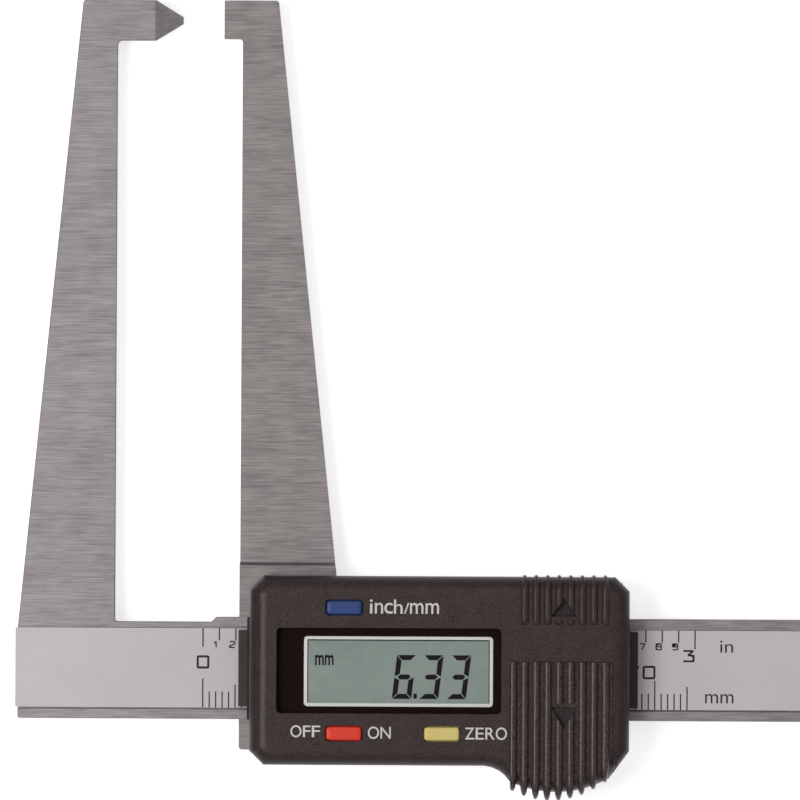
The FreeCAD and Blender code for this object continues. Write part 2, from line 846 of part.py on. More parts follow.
def main():
    parts = {
        "beam": make_beam(),
        "grating_strip": make_grating_strip(),
        "scale_label": make_scale_label(),
        "end_stop": make_end_stop(),
        "end_stop_screws": make_end_stop_screws(),
        "slider_frame": make_slider_frame(),
        "gib_strip": make_gib_strip(),
        "gib_screws": make_gib_screws(),
        "front_cover": make_front_cover(),
        "cover_screws": make_cover_screws(),
        "window_lens": make_window_lens(),
        "lcd_frame": make_lcd_frame(),
        "lcd_glass": make_lcd_glass(),
        "zebra_strips": make_zebra_strips(),
        "sensor_board": make_sensor_board(),
        "main_board": make_main_board(),
        "controller_chip": make_controller_chip(),
        "button_domes": make_button_domes(),
        "battery": make_battery(),
        "contact_negative": make_contact_negative(),
        "contact_positive": make_contact_positive(),
        "battery_door": make_battery_door(),
    }
    for name, (x, y) in button_places.items():
        parts[name] = make_button(x, y)
    os.makedirs("parts", exist_ok=True)
    for name, shape in parts.items():
        shape.exportStep("parts/" + name + ".step")
        box = shape.BoundBox
        print(name, "solids", len(shape.Solids), "valid", shape.isValid(), "volume", round(shape.Volume, 1),
              "z", round(box.ZMin, 2), round(box.ZMax, 2))


if __name__ == "__main__":
    main()
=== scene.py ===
# %% [markdown]
# # A digital brake disc caliper
# A steel beam carries one long fixed jaw, and a slider with the long moving jaw slides along it.
# A black moulded cover on the slider holds the display, three keys and the battery door.
# The CAD model gives every size and every place. Here each visible part gets its real surface.

# %% Load the CAD model
import math

import bmesh
import bpy
import numpy as np
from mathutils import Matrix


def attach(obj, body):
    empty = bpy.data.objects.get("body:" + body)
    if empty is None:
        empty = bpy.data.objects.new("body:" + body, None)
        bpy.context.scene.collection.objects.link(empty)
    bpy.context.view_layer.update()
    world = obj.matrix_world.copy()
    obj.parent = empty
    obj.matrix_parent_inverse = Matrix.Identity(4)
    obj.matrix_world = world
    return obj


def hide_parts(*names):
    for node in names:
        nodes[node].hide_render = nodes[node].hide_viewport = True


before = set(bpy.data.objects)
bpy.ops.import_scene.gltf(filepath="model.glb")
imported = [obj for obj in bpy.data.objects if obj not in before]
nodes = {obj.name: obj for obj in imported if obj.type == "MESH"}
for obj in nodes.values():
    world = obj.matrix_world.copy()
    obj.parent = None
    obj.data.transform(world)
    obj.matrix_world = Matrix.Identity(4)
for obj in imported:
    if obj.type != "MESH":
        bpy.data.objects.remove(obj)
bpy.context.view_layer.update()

MM = 0.001

# %% [markdown]
# ## The picture: camera, floor and light
# A caliper for a catalogue lies flat and is photographed from straight above with a long lens,
# so its scale stays straight. Four soft lamps stand round the camera, and the gap between them
# keeps the glossy window dark: what it mirrors is the gap, not a lamp. The left lamp is the
# strongest, so each rib and each sunk arrow shows a bright and a dark side. White cards stand low
# on all four sides, because bare steel looks black where it has nothing bright to mirror.

# %% Camera
picture_width = 124.03      # what the picture takes in, in millimetres
camera_height = 3300.0
camera_middle = (30.31, 41.64)
camera_roll = 0.3           # the caliper lay a little turned

camera_data = bpy.data.cameras.new("camera")
camera_data.sensor_width = 36.0
camera_data.lens = camera_data.sensor_width * camera_height / picture_width
camera_data.clip_end = 10.0
camera = bpy.data.objects.new("camera", camera_data)
camera.location = (camera_middle[0] * MM, camera_middle[1] * MM, camera_height * MM)
camera.rotation_euler = (0.0, 0.0, math.radians(camera_roll))
bpy.context.scene.collection.objects.link(camera)
bpy.context.scene.camera = camera
bpy.context.scene.view_settings.view_transform = "Standard"
print("lens", round(camera_data.lens, 1))

# %% Four soft lamps, four white cards and a plain surround
side_of = {"left": (-1, 0), "right": (1, 0), "top": (0, 1), "bottom": (0, -1)}
lamps = [                   # side, distance from the middle, height, its own height and width, power
    ("left", 0.47, 1.0, 0.45, 0.45, 6.2),
    ("right", 0.6, 0.9, 0.7, 0.7, 0.8),
    ("top", 0.5, 0.95, 0.6, 0.6, 1.5),
    ("bottom", 0.55, 0.95, 0.7, 0.7, 1.5),
]
cards = [("left", 1.3, 0.45, 0.9, 2.4, 1.6), ("right", 1.3, 0.45, 0.9, 2.4, 1.6),
         ("top", 1.3, 0.45, 0.9, 2.4, 2.7), ("bottom", 1.3, 0.45, 0.9, 2.4, 2.7)]
for side, distance, height, high, wide, power in lamps + cards:
    side_x, side_y = side_of[side]
    lamp_data = bpy.data.lights.new("lamp_" + side, "AREA")
    lamp_data.shape = "RECTANGLE"
    lamp_data.size, lamp_data.size_y = (high, wide) if side_x else (wide, high)
    lamp_data.energy = power
    lamp = bpy.data.objects.new("lamp_" + side, lamp_data)
    lamp.location = (side_x * distance, side_y * distance, height)
    lean = math.atan2(distance, height)
    lamp.rotation_euler = (-side_y * lean, side_x * lean, 0.0)
    lamp.visible_camera = False
    bpy.context.scene.collection.objects.link(lamp)

world = bpy.data.worlds.new("surround")
bpy.context.scene.world = world
world.use_nodes = True
world_tree = world.node_tree
world_tree.nodes.clear()
surround_level = 0.15
seen = world_tree.nodes.new("ShaderNodeLightPath")
dim = world_tree.nodes.new("ShaderNodeBackground")
dim.inputs["Strength"].default_value = surround_level
white = world_tree.nodes.new("ShaderNodeBackground")
choice = world_tree.nodes.new("ShaderNodeMixShader")
result = world_tree.nodes.new("ShaderNodeOutputWorld")
dim.inputs["Color"].default_value = (1.0, 1.0, 1.0, 1.0)
white.inputs["Color"].default_value = (1.0, 1.0, 1.0, 1.0)
world_tree.links.new(seen.outputs["Is Camera Ray"], choice.inputs[0])
world_tree.links.new(dim.outputs[0], choice.inputs[1])
world_tree.links.new(white.outputs[0], choice.inputs[2])
world_tree.links.new(choice.outputs[0], result.inputs["Surface"])

# %% [markdown]
# ## Shapes from arrays
# A moulded or machined part can be drawn by hand, but it is easier to repeat when it is worked
# out. Each solid here is a stack of rings: a closed outline, moved inwards and up step by step.
# Numpy works out all points at once, and one rule joins neighbouring rings by four-sided faces.

# %% Outlines
def rounded_rectangle(x, y, radius, steps=6):
    """Points anticlockwise round a rectangle, with a quarter circle of the radius at each corner."""
    quarter = np.linspace(0.0, np.pi / 2, steps)
    angle = (np.arange(4)[:, None] * np.pi / 2 + quarter).ravel()
    centre_x = np.repeat([x[1] - radius, x[0] + radius, x[0] + radius, x[1] - radius], steps)
    centre_y = np.repeat([y[1] - radius, y[1] - radius, y[0] + radius, y[0] + radius], steps)
    return np.column_stack([centre_x + radius * np.cos(angle), centre_y + radius * np.sin(angle)])


def arc_through(start, middle, end, steps):
    """Points on the circle through three points. Its centre is as far from each of them,
    which gives two linear equations, and the angle then runs evenly from start to end."""
    start, middle, end = np.array(start), np.array(middle), np.array(end)
    sides = 2 * np.array([middle - start, end - start])
    squares = np.array([middle @ middle - start @ start, end @ end - start @ start])
    centre = np.linalg.solve(sides, squares)
    spokes = np.array([start, middle, end]) - centre
    angles = np.unwrap(np.arctan2(spokes[:, 1], spokes[:, 0]))
    turn = np.linspace(angles[0], angles[2], steps)[:-1]
    return centre + np.hypot(*spokes[0]) * np.column_stack([np.cos(turn), np.sin(turn)])


def rounded_corners(corners, steps=6):
    """An outline through corners (x, y, radius). At a corner with a radius, an arc that touches
    both sides takes its place: it starts r / tan(half the angle) before the corner."""
    corners = np.array(corners, float)
    points = corners[:, :2]
    before = np.roll(points, 1, axis=0) - points
    after = np.roll(points, -1, axis=0) - points
    before /= np.hypot(*before.T)[:, None]
    after /= np.hypot(*after.T)[:, None]
    pieces = []
    for point, radius, back, ahead in zip(points, corners[:, 2], before, after):
        half = math.acos(back @ ahead) / 2
        if radius == 0:
            pieces.append([point])
            continue
        start, end = (point + way * radius / math.tan(half) for way in (back, ahead))
        bisector = (back + ahead) / np.hypot(*(back + ahead))
        middle = point + bisector * (radius / math.sin(half) - radius)
        pieces += [arc_through(start, middle, end, steps), [end]]
    return np.concatenate(pieces)


def moved_in(outline, distance):
    """The outline moved inwards. Each corner goes along the sum of the normals of its two sides,
    scaled until it is the distance from both."""
    before = outline - np.roll(outline, 1, axis=0)
    after = np.roll(outline, -1, axis=0) - outline
    normal_before = np.column_stack([-before[:, 1], before[:, 0]]) / np.hypot(*before.T)[:, None]
    normal_after = np.column_stack([-after[:, 1], after[:, 0]]) / np.hypot(*after.T)[:, None]
    corner = normal_before + normal_after
    return outline + distance * corner / (corner * normal_before).sum(axis=1)[:, None]


def rings_round(outline, profile):
    """One ring for each pair (distance inwards, height) of the profile."""
    return np.stack([
        np.column_stack([moved_in(outline, distance), np.full(len(outline), height)])
        for distance, height in profile
    ])


def upright(outline, z):
    """Two rings of a solid with the same outline at both heights."""
    return rings_round(outline, [(0.0, z[0]), (0.0, z[1])])


def block(x, y, z):
    """Two rings of a box between the two values of each of its three ranges."""
    return upright(np.array([(x[0], y[0]), (x[1], y[0]), (x[1], y[1]), (x[0], y[1])], float), z)


# %% Solids from rings
def solid(name, rings):
    """A mesh object from rings of points in millimetres, shaped (ring, point, 3), or with
    one more axis in front for many solids. Faces join each ring to the next and close both ends."""
    rings = np.asarray(rings, float)
    rings = rings.reshape((-1,) + rings.shape[-3:])
    number = np.arange(rings[..., 0].size).reshape(rings.shape[:3])
    low, high = number[:, :-1], number[:, 1:]
    sides = np.stack([low, np.roll(low, -1, 2), np.roll(high, -1, 2), high], axis=-1)
    ends = np.concatenate([number[:, 0, ::-1], number[:, -1]])
    points = (rings.reshape(-1, 3) * MM).tolist()
    mesh = bpy.data.meshes.new(name)
    mesh.from_pydata(points, [], sides.reshape(-1, 4).tolist() + ends.tolist())
    made = bpy.data.objects.new(name, mesh)
    bpy.context.scene.collection.objects.link(made)
    face_outwards(mesh)
    return made


SAME_POINT = 1e-7           # points closer than this, in metres, are one point


def face_outwards(mesh, merge=0.0):
    """Turns every face of closed solids outwards, after points closer than merge are made one."""
    shape = bmesh.new()
    shape.from_mesh(mesh)
    if merge:
        bmesh.ops.remove_doubles(shape, verts=shape.verts, dist=merge)
    bmesh.ops.recalc_face_normals(shape, faces=shape.faces)
    shape.to_mesh(mesh)
    shape.free()


def apply_modifiers(piece):
    """The mesh as its modifiers leave it becomes the mesh of the piece."""
    shown = piece.evaluated_get(bpy.context.evaluated_depsgraph_get())
    mesh = bpy.data.meshes.new_from_object(shown)
    piece.modifiers.clear()
    piece.data = mesh


def combine(piece, tool, how):
    """Cuts the tool out of the piece, joins it on or keeps what both share. The tool goes."""
    modifier = piece.modifiers.new(how, "BOOLEAN")
    modifier.operation = how
    modifier.solver = "MANIFOLD"
    modifier.object = tool
    apply_modifiers(piece)
    bpy.data.objects.remove(tool)


def cut(piece, *tools):
    """Cuts solids, each given as its rings, out of the piece."""
    for rings in tools:
        combine(piece, solid("cutter", rings), "DIFFERENCE")


def soften_edges(piece, width, sharper_than=28.0, steps=2):
    """A narrow rounding along every edge that turns by more than an angle, in degrees."""
    modifier = piece.modifiers.new("edges", "BEVEL")
    modifier.width = width * MM
    modifier.segments = steps
    modifier.limit_method = "ANGLE"
    modifier.angle_limit = math.radians(sharper_than)
    modifier.use_clamp_overlap = True
    apply_modifiers(piece)


def place(piece, body, material, crease=32.0):
    """Smooth shading up to the crease angle, the material and the body it moves with.
    Large faces count for more in the shading, so a flat face next to a rounding stays flat."""
    mesh = piece.data
    mesh.polygons.foreach_set("use_smooth", np.ones(len(mesh.polygons), bool))
    mesh.set_sharp_from_angle(angle=math.radians(crease))
    even = piece.modifiers.new("even", "WEIGHTED_NORMAL")
    even.keep_sharp = True
    mesh.materials.clear()
    mesh.materials.append(material)
    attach(piece, body)
    print(piece.name, "faces", len(mesh.polygons))
    return piece


# %% [markdown]
# ## Finishes
# Every finish is worked out from the place on the part, so it needs no picture and no unwrapping.
# Noise that is stretched along one axis gives brushed steel; fine round noise gives moulded
# plastic. The same noise moves colour, roughness and a slight relief together. On the black
# plastic of the cover and door, shade is painted as well: its colour is darker in what lies deeper.

# %% Helpers for materials
def colour(red, green, blue):
    """Screen values from 0 to 255, turned into the linear values that a shader takes."""
    screen = np.array([red, green, blue]) / 255
    linear = np.where(screen < 0.04045, screen / 12.92, ((screen + 0.055) / 1.055) ** 2.4)
    return (*linear.tolist(), 1.0)


def add_node(tree, kind, sockets, **settings):
    """A new node. Sockets gives each input a value, or the output of another node to link."""
    made = tree.nodes.new(kind)
    for setting, value in settings.items():
        setattr(made, setting, value)
    for socket, value in sockets.items():
        if isinstance(value, bpy.types.NodeSocket):
            tree.links.new(value, made.inputs[socket])
        else:
            made.inputs[socket].default_value = value
    return made


def grain(tree, spots, detail=2.0):
    """Noise on Object coordinates, with so many spots a millimetre along X, Y and Z."""
    where = add_node(tree, "ShaderNodeTexCoord", {})
    stretched = add_node(tree, "ShaderNodeMapping", {
        "Vector": where.outputs["Object"],
        "Scale": [value / MM for value in spots],
    })
    noise = add_node(tree, "ShaderNodeTexNoise", {
        "Vector": stretched.outputs[0],
        "Scale": 1.0,
        "Detail": detail,
    })
    return noise.outputs[0]


def blended(tree, first, second, share):
    """The first noise and a share of the second, still about 0.5 on average."""
    weighted = add_node(tree, "ShaderNodeMath", {0: first, 1: 1.0 - share}, operation="MULTIPLY")
    return add_node(tree, "ShaderNodeMath", {0: second, 1: share, 2: weighted.outputs[0]},
                    operation="MULTIPLY_ADD").outputs[0]


def shades(tree, factor, dark, light, spread=0.2):
    """From dark to light as the factor passes the middle, within the spread on both sides."""
    ramp = add_node(tree, "ShaderNodeValToRGB", {"Fac": factor})
    ramp.color_ramp.elements[0].position = 0.5 - spread
    ramp.color_ramp.elements[0].color = colour(*dark)
    ramp.color_ramp.elements[1].position = 0.5 + spread
    ramp.color_ramp.elements[1].color = colour(*light)
    return ramp.outputs["Color"]


def between(tree, factor, low, high):
    """The factor from 0.3 to 0.7 spread over low to high."""
    spread = add_node(tree, "ShaderNodeMapRange", {
        "Value": factor, "From Min": 0.3, "From Max": 0.7, "To Min": low, "To Max": high,
    })
    return spread.outputs[0]


def darker_below(tree, tint, low_z, high_z, least):
    """Painted shade: the tint at the upper height and above, falling to the least share of it at the lower
    one.
    """
    where = add_node(tree, "ShaderNodeTexCoord", {})
    parts = add_node(tree, "ShaderNodeSeparateXYZ", {0: where.outputs["Object"]})
    share = add_node(tree, "ShaderNodeMapRange", {
        "Value": parts.outputs["Z"], "From Min": low_z * MM, "From Max": high_z * MM, "To Min": least,
    })
    return add_node(tree, "ShaderNodeVectorMath", {0: tint, "Scale": share.outputs[0]},
                    operation="SCALE").outputs[0]


def new_material(name, dark, light, fine, coarse=(0.1, 0.1, 0.1), share=0.3, roughness=(0.4, 0.5),
                 relief=0.0, metallic=0.0, gloss=0.5, spread=0.2, dim=None):
    """A finish whose colour, roughness and relief follow one fine and one coarse noise. Dim paints
    shade: it takes two heights and the least share of the colour, which is reached at the lower height."""
    material = bpy.data.materials.new(name)
    material.use_nodes = True
    tree = material.node_tree
    shader = tree.nodes["Principled BSDF"]
    factor = blended(tree, grain(tree, fine), grain(tree, coarse), share)
    tint = shades(tree, factor, dark, light, spread)
    if dim:
        tint = darker_below(tree, tint, *dim)
    tree.links.new(tint, shader.inputs["Base Color"])
    tree.links.new(between(tree, factor, *roughness), shader.inputs["Roughness"])
    shader.inputs["Metallic"].default_value = metallic
    shader.inputs["Specular IOR Level"].default_value = gloss
    if relief:
        bump = add_node(tree, "ShaderNodeBump", {
            "Height": factor, "Distance": relief * MM, "Strength": 1.0,
        })
        tree.links.new(bump.outputs[0], shader.inputs["Normal"])
    material.diffuse_color = colour(*[(a + b) / 2 for a, b in zip(dark, light)])
    return material


# %% The finishes of the caliper
# Painted shade: below the front, the black plastic darkens towards its rounded edges and into its hollows.
painted_depth_shade = (11.2, 12.4, 0.6)     # lower height, upper height, least share of the colour
GROUND_PLATE = {"fine": (0.25, 8.0, 3.0), "coarse": (0.25, 0.4, 0.4), "share": 0.25,
                "roughness": (0.32, 0.44), "relief": 0.002, "metallic": 0.7}
beam_steel = new_material("beam_steel", (119, 113, 114), (154, 148, 148), **GROUND_PLATE)
slider_steel = new_material("slider_steel", (112, 106, 106), (147, 141, 140), **GROUND_PLATE)
scale_silver = new_material(
    "scale_silver", (180, 174, 174), (196, 190, 190), fine=(4.0, 6.0, 6.0), roughness=(0.36, 0.42),
    relief=0.001, metallic=0.1)
cover_black = new_material(
    "cover_black", (42, 31, 31), (68, 55, 55), fine=(3.4, 3.4, 3.4), coarse=(0.4, 0.4, 0.4),
    share=0.2, roughness=(0.3, 0.42), relief=0.025, gloss=0.18, dim=painted_depth_shade)
door_black = new_material(
    "door_black", (44, 33, 33), (78, 64, 64), fine=(3.0, 3.0, 3.0), coarse=(0.4, 0.4, 0.4),
    share=0.2, roughness=(0.23, 0.32), relief=0.035, gloss=0.26, dim=painted_depth_shade)
print("materials:", len(bpy.data.materials))

# %% Finishes that need few words
FINE_ROUND = (3.0, 3.0, 3.0)
BRUSHED_ALONG_X = (0.2, 6.0, 6.0)
KEY_GLOSS = {"roughness": (0.35, 0.45), "gloss": 0.25}
DULL = (0.5, 0.6)
key_blue = new_material("key_blue", (36, 58, 108), (48, 72, 128), FINE_ROUND, **KEY_GLOSS)
key_red = new_material("key_red", (206, 52, 34), (222, 64, 46), FINE_ROUND, **KEY_GLOSS)
key_yellow = new_material("key_yellow", (200, 180, 108), (212, 194, 122), FINE_ROUND, **KEY_GLOSS)
print_grey = new_material("print_grey", (186, 182, 180), (206, 202, 200), FINE_ROUND, roughness=DULL)
scale_ink = new_material("scale_ink", (34, 30, 31), (52, 47, 47), FINE_ROUND, roughness=DULL, gloss=0.2)
digit_ink = new_material("digit_ink", (22, 16, 20), (34, 26, 30), FINE_ROUND, roughness=DULL, gloss=0.1)
display_grey = new_material("display_grey", (136, 147, 140), (153, 161, 154), (0.5, 0.5, 0.5),
                            coarse=(0.03, 0.05, 0.05), share=0.6, roughness=(0.3, 0.4), gloss=0.2)
rim_white = new_material("rim_white", (226, 221, 216), (238, 234, 230), FINE_ROUND, roughness=(0.35, 0.45))
mask_black = new_material("mask_black", (24, 12, 11), (32, 18, 16), FINE_ROUND,
                          roughness=(0.3, 0.4), gloss=0.05)
board_black = new_material("board_black", (44, 34, 31), (58, 46, 43), (2.0, 2.0, 2.0),
                           roughness=(0.35, 0.5), gloss=0.3)
board_green = new_material("board_green", (34, 74, 52), (46, 92, 66), (2.0, 2.0, 2.0),
                           roughness=(0.3, 0.45))
resin_black = new_material("resin_black", (20, 20, 20), (30, 30, 30), FINE_ROUND, roughness=(0.2, 0.35))
rubber_grey = new_material("rubber_grey", (70, 68, 72), (96, 94, 98), (0.2, 6.0, 0.2), roughness=(0.7, 0.8))
grating_copper = new_material("grating_copper", (120, 74, 44), (156, 100, 62), (2.0, 0.1, 2.0),
                              roughness=(0.3, 0.4), metallic=0.9)
gib_bronze = new_material("gib_bronze", (150, 110, 62), (176, 134, 80), BRUSHED_ALONG_X,
                          roughness=(0.3, 0.45), relief=0.003, metallic=1.0)
screw_steel = new_material("screw_steel", (150, 148, 146), (186, 184, 182), (4.0, 4.0, 0.5),
                           roughness=(0.25, 0.38), relief=0.002, metallic=1.0)
spring_steel = new_material("spring_steel", (170, 164, 150), (196, 190, 176), BRUSHED_ALONG_X,
                            roughness=(0.22, 0.32), metallic=1.0)
cell_steel = new_material("cell_steel", (176, 174, 170), (204, 202, 198), (0.4, 5.0, 0.4),
                          roughness=(0.18, 0.3), metallic=1.0)

# %% [markdown]
# ## The floor
# A pale plain floor takes the soft shadow. For rays from the camera, and for what shines or lets
# light through, its own light lifts it to white, and the shadow still shows on it.

# %% Floor
floor_z = -1.87
floor_half = 2000.0
floor_lift = 0.62           # strength of the floor's own light
floor_corners = np.array([(-1, -1, 0), (1, -1, 0), (1, 1, 0), (-1, 1, 0)]) * floor_half * MM
floor_corners[:, 2] = floor_z * MM
floor_mesh = bpy.data.meshes.new("floor")
floor_mesh.from_pydata(floor_corners.tolist(), [], [(0, 1, 2, 3)])
floor = bpy.data.objects.new("floor", floor_mesh)
bpy.context.scene.collection.objects.link(floor)

floor_white = new_material("floor_white", (222, 222, 222), (226, 226, 226), (0.01, 0.01, 0.01),
                           roughness=(0.8, 0.9), gloss=0.1)
floor_tree = floor_white.node_tree
floor_shader = floor_tree.nodes["Principled BSDF"]
ray = add_node(floor_tree, "ShaderNodeLightPath", {})
shown = ray.outputs["Is Camera Ray"]
for kind in ("Is Glossy Ray", "Is Transmission Ray"):
    shown = add_node(floor_tree, "ShaderNodeMath", {0: shown, 1: ray.outputs[kind]},
                     operation="MAXIMUM").outputs[0]
lift = add_node(floor_tree, "ShaderNodeMath", {0: shown, 1: floor_lift}, operation="MULTIPLY")
floor_shader.inputs["Emission Color"].default_value = (1.0, 1.0, 1.0, 1.0)
floor_tree.links.new(lift.outputs[0], floor_shader.inputs["Emission Strength"])
floor_mesh.materials.append(floor_white)

# %% [markdown]
# ## Beam and jaws
# Both jaws are ground from hardened plate, and the grinding lines run along the beam. The CAD
# solids have the right shape, but a real edge is never perfectly sharp: it is broken by a stone.
# So a merged copy gets a narrow rounding along its edges, which catches a thin line of light.

# %% Steel parts with broken edges
FLAT_WITHIN = 0.5           # faces that turn by less than this, in degrees, are one face


def softened_copy(node, name, width, body, material, crease=32.0):
    """A copy of a CAD part with its flat faces made whole and its edges rounded by the width."""
    mesh = nodes[node].data.copy()
    face_outwards(mesh, merge=SAME_POINT)
    shape = bmesh.new()
    shape.from_mesh(mesh)
    bmesh.ops.dissolve_limit(shape, angle_limit=math.radians(FLAT_WITHIN),
                             verts=shape.verts, edges=shape.edges)
    shape.to_mesh(mesh)
    shape.free()
    piece = bpy.data.objects.new(name, mesh)
    bpy.context.scene.collection.objects.link(piece)
    soften_edges(piece, width)
    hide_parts(node)
    return place(piece, body, material, crease)


softened_copy("slider_frame", "ground_slider", 0.12, "slider", slider_steel, crease=20.0)
softened_copy("gib_strip", "bronze_gib", 0.1, "slider", gib_bronze)

# %% [markdown]
# ## Beam with the fixed jaw
# Beam and fixed jaw are one plate. Its outline is carried up with a narrow slope at both faces,
# which is the broken edge. The groove for the scale is cut out, and the measuring point joined on.

# %% Beam
plate_thick = 3.5
edge_break = 0.12
groove_y = (-6.45, 6.22)    # a little wider than the scale plate, which shows as a dark line
groove_z = (2.45, 5.0)      # from its floor to above the plate
beam_outline = rounded_corners([
    (-28.7, -7.9, 0.3), (146.1, -7.9, 0.3), (146.1, 7.9, 0.3), (2.05, 7.9, 0), (1.3, 7.15, 0),
    (-13.65, 7.15, 0.4), (-13.65, 97.1, 0.7), (-7.85, 97.1, 0), (-7.85, 103.4, 0),
    (-19.0, 103.4, 0.5), (-28.7, 6.15, 0),
])
plate_profile = [(edge_break, 0.0), (0.0, edge_break),
                 (0.0, plate_thick - edge_break), (edge_break, plate_thick)]


def measuring_point():
    """Rings across X from the hook to the small flat end: the rectangle shrinks in a straight
    line, and its corners are cut off by the broken edge."""
    middle_y, middle_z = 100.25, plate_thick / 2
    rows = [(-8.6, 6.3, 3.5), (-7.75, 6.3, 3.5), (-3.5, 1.1, 0.9)]      # x, size along Y, size along Z
    rings = []
    for x, height, thick in rows:
        y, z, slope = height / 2, thick / 2, edge_break
        corners = np.array([(-y + slope, -z), (y - slope, -z), (y, -z + slope), (y, z - slope),
                            (y - slope, z), (-y + slope, z), (-y, z - slope), (-y, -z + slope)])
        rings.append(np.column_stack([np.full(8, x), middle_y + corners[:, 0], middle_z + corners[:, 1]]))
    return np.stack(rings)


beam = solid("ground_beam", rings_round(beam_outline, plate_profile))
cut(beam, block((-40.0, 160.0), groove_y, groove_z))
combine(beam, solid("point", measuring_point()), "UNION")
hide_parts("beam")
place(beam, "main_beam", beam_steel, crease=20.0)

# %% [markdown]
# ## The printed scale
# The silver strip is screen printed: inch lines hang from its upper edge and millimetre lines
# stand on its lower edge. A print could be a picture on the strip. Thin solids of ink are
# sharper at any size, and their places follow from the scale itself. Scale numerals are drawn
# with a pen of even width, so each is a few strokes along straight paths with soft corners.

# %% Ink lines of both scales
label_top_z = 3.5
ink = 0.012
label_half = 6.15
line_width = 0.2
line_inset = 0.02           # how far the lines start inside the plate's edges
inch = 25.4


def ink_lines(x, foot_y, length):
    """Thin boxes of ink: one for each x, from foot_y for a signed length along Y."""
    x = np.asarray(x, float)
    left, right = x - line_width / 2, x + line_width / 2
    low = np.minimum(foot_y, foot_y + length) + 0 * x
    high = np.maximum(foot_y, foot_y + length) + 0 * x
    ring = np.stack([np.stack([left, low], -1), np.stack([right, low], -1),
                     np.stack([right, high], -1), np.stack([left, high], -1)], axis=1)
    z = np.broadcast_to(label_top_z, ring.shape[:2])
    return np.stack([np.dstack([ring, z]), np.dstack([ring, z + ink])], axis=1)


tenths = np.arange(31)
inch_line, tenth_line = 2.87, 1.86
tenth_length = np.where(tenths % 10 == 0, inch_line, tenth_line)
millimetres = np.arange(76)
long_line, half_line, short_line = 4.5, 3.57, 2.48
line_length = np.where(millimetres % 5 == 0, half_line, short_line)
line_length = np.where(millimetres % 10 == 0, long_line, line_length)
lines = np.concatenate([
    ink_lines(tenths * inch / 10, label_half - line_inset, -tenth_length),
    ink_lines(millimetres, -label_half + line_inset, line_length),
])
place(solid("scale_lines", lines), "main_beam", scale_ink)


# %% Lettering
def lettering(name, words, x, y, z, thick, weight=0.0):
    """Words as a flat mesh that fills the ranges of x and y, with the given thickness."""
    text = bpy.data.curves.new(name, "FONT")
    text.body = words
    text.offset = weight
    text.extrude = 0.5
    text.resolution_u = 4
    carrier = bpy.data.objects.new(name, text)
    bpy.context.scene.collection.objects.link(carrier)
    mesh = bpy.data.meshes.new_from_object(carrier.evaluated_get(bpy.context.evaluated_depsgraph_get()))
    bpy.data.objects.remove(carrier)
    points = np.empty(len(mesh.vertices) * 3)
    mesh.vertices.foreach_get("co", points)
    points = points.reshape(-1, 3)
    low, size = points.min(axis=0), np.ptp(points, axis=0)
    corner = np.array([x[0], y[0], z])
    room = np.array([x[1] - x[0], y[1] - y[0], thick])
    points = (corner + (points - low) / size * room) * MM
    mesh.vertices.foreach_set("co", points.ravel())
    mesh.update()
    return mesh


def joined_lettering(name, meshes, body, material):
    """Several words as one piece."""
    shape = bmesh.new()
    for mesh in meshes:
        shape.from_mesh(mesh)
    mesh = bpy.data.meshes.new(name)
    shape.to_mesh(mesh)
    shape.free()
    face_outwards(mesh, merge=SAME_POINT)
    piece = bpy.data.objects.new(name, mesh)
    bpy.context.scene.collection.objects.link(piece)
    return place(piece, body, material)


signs = [lettering("inch_sign", "in", (80.1, 82.1), (2.78, 4.63), label_top_z, ink),
         lettering("mm_sign", "mm", (77.8, 82.2), (-5.08, -3.63), label_top_z, ink)]
joined_lettering("scale_signs", signs, "main_beam", scale_ink)

# %% Numerals from strokes
box = [(0.5, 0.0), (1.0, 0.0), (1.0, 1.0), (0.0, 1.0), (0.0, 0.0), (0.5, 0.0)]
crossbar = [(0.0, 0.5), (1.0, 0.5)]
numeral_strokes = {
    "0": [box],
    "1": [[(0.15, 0.75), (0.55, 1.0), (0.55, 0.0)]],
    "2": [[(0.0, 1.0), (1.0, 1.0), (1.0, 0.6), (0.0, 0.3), (0.0, 0.0), (1.0, 0.0)]],
    "3": [[(0.0, 1.0), (0.95, 1.0), (0.45, 0.57)], [(0.45, 0.57), (1.0, 0.55), (1.0, 0.0), (0.0, 0.0)]],
    "4": [[(0.0, 1.0), (0.0, 0.35), (1.0, 0.35)], [(0.8, 0.7), (0.8, 0.0)]],
    "5": [[(1.0, 1.0), (0.0, 1.0), (0.0, 0.5), (1.0, 0.5), (1.0, 0.0), (0.0, 0.0)]],
    "6": [[(1.0, 1.0), (0.0, 1.0), (0.0, 0.0), (1.0, 0.0), (1.0, 0.5), (0.0, 0.5)]],
    "7": [[(0.0, 1.0), (1.0, 1.0), (0.45, 0.0)]],
    "8": [box, crossbar],
    "9": [[(0.0, 0.0), (1.0, 0.0), (1.0, 1.0), (0.0, 1.0), (0.0, 0.5), (1.0, 0.5)]],
}


def stroke(path, width, steps=36):
    """The outline of a line of even width. The path is walked in equal steps, which softens its
    corners, and each point p gives p + n w/2 and p - n w/2, with n square to the path."""
    path = np.asarray(path, float)
    way = np.concatenate([[0.0], np.cumsum(np.hypot(*np.diff(path, axis=0).T))])
    even = np.linspace(0.0, way[-1], steps)
    line = np.column_stack([np.interp(even, way, path[:, 0]), np.interp(even, way, path[:, 1])])
    along = np.gradient(line, axis=0)
    square = np.column_stack([-along[:, 1], along[:, 0]]) / np.hypot(*along.T)[:, None] * width / 2
    return np.concatenate([line - square, (line + square)[::-1]])


